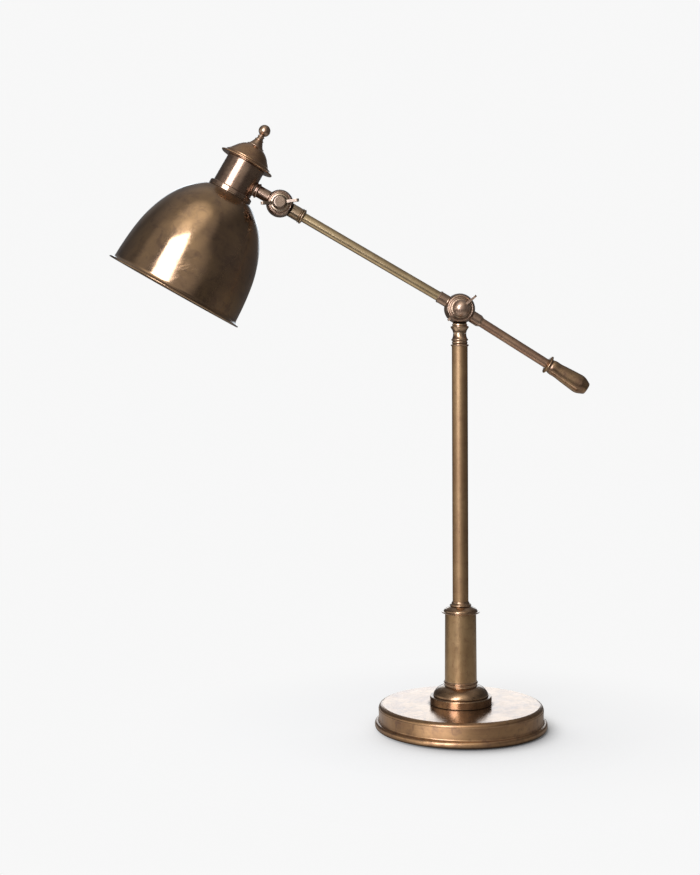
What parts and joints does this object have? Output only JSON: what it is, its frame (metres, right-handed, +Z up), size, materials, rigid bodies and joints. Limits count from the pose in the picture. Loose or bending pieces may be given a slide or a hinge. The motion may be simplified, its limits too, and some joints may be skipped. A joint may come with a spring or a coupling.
{
  "type": "adjustable desk lamp",
  "caption": "Counterbalanced desk lamp with a bell shade on a pivoting arm, wing-nut knuckles and a swivelling post on a round weighted base",
  "frame": {"origin": "centre of the felt underside of the base, on the post axis", "axes": "+Z up along the post, -X towards the shade, +X towards the counterweight, wing nuts face -Y, +Y to the back where the cord inlet is"},
  "size_m": [0.5279, 0.1906, 0.6651],
  "materials": {
    "aged_brass": "satin",
    "bright_brass": "polished",
    "steel": "satin",
    "cast_iron": "matte",
    "felt": "matte",
    "black_plastic": "satin",
    "aluminium": "satin",
    "bulb_glass": "matte",
    "lead": "matte"
  },
  "bodies": {
    "stand": {"base_shell": "aged_brass", "base_weight": "cast_iron", "base_plate": "steel", "base_felt": "felt", "cord_bushing": "black_plastic", "tie_rod": "steel", "base_washer": "steel", "base_nut": "steel", "foot_collar": "aged_brass", "sleeve_foot_ring": "aged_brass", "lower_sleeve": "aged_brass", "sleeve_cap": "aged_brass", "post_base_ring": "aged_brass", "post_tube": "aged_brass", "post_top_collar": "aged_brass", "swivel_nut": "steel", "post_lead": "lead"},
    "swivel_head": {"swivel_cup": "aged_brass", "post_knuckle": "aged_brass", "arm_pivot_bolt": "aged_brass"},
    "arm": {"arm_knuckle": "aged_brass", "front_arm_tube": "aged_brass", "rear_arm_tube": "aged_brass", "arm_lead": "lead", "counterweight_ring": "aged_brass", "counterweight": "aged_brass", "arm_washer": "bright_brass", "head_pivot_socket": "aged_brass", "head_pivot_bolt": "aged_brass"},
    "arm_nut": {"arm_wing_nut": "aged_brass"},
    "head": {"head_knuckle": "aged_brass", "head_washer": "bright_brass", "stub_collar": "aged_brass", "stub_nut": "steel", "neck_cup": "aged_brass", "neck_ring": "aged_brass", "shade": "aged_brass", "shade_ring": "black_plastic", "vent_cap": "aged_brass", "finial": "aged_brass", "cap_rod": "steel", "lampholder": "black_plastic", "socket_shell": "bright_brass", "bulb_cap": "aluminium", "bulb_glass": "bulb_glass", "head_lead": "lead"},
    "head_nut": {"head_wing_nut": "aged_brass"}
  },
  "joints": [
    {"name": "post_swivel", "type": "hinge", "parent": "stand", "child": "swivel_head", "pos_m": [0, 0, 0.4359], "axis": [0, 0, 1], "range_deg": [-150, 150]},
    {"name": "arm_tilt", "type": "hinge", "parent": "swivel_head", "child": "arm", "pos_m": [0, 0, 0.4634], "axis": [0, 1, 0], "range_deg": [-62, 4]},
    {"name": "head_tilt", "type": "hinge", "parent": "arm", "child": "head", "pos_m": [-0.19798, 0, 0.57909], "axis": [0, 1, 0], "range_deg": [-60, 75]},
    {"name": "arm_nut_turn", "type": "hinge", "parent": "swivel_head", "child": "arm_nut", "pos_m": [0, 0, 0.4634], "axis": [0, 1, 0], "continuous": true},
    {"name": "head_nut_turn", "type": "hinge", "parent": "arm", "child": "head_nut", "pos_m": [-0.19798, 0, 0.57909], "axis": [0, 1, 0], "continuous": true}
  ]
}
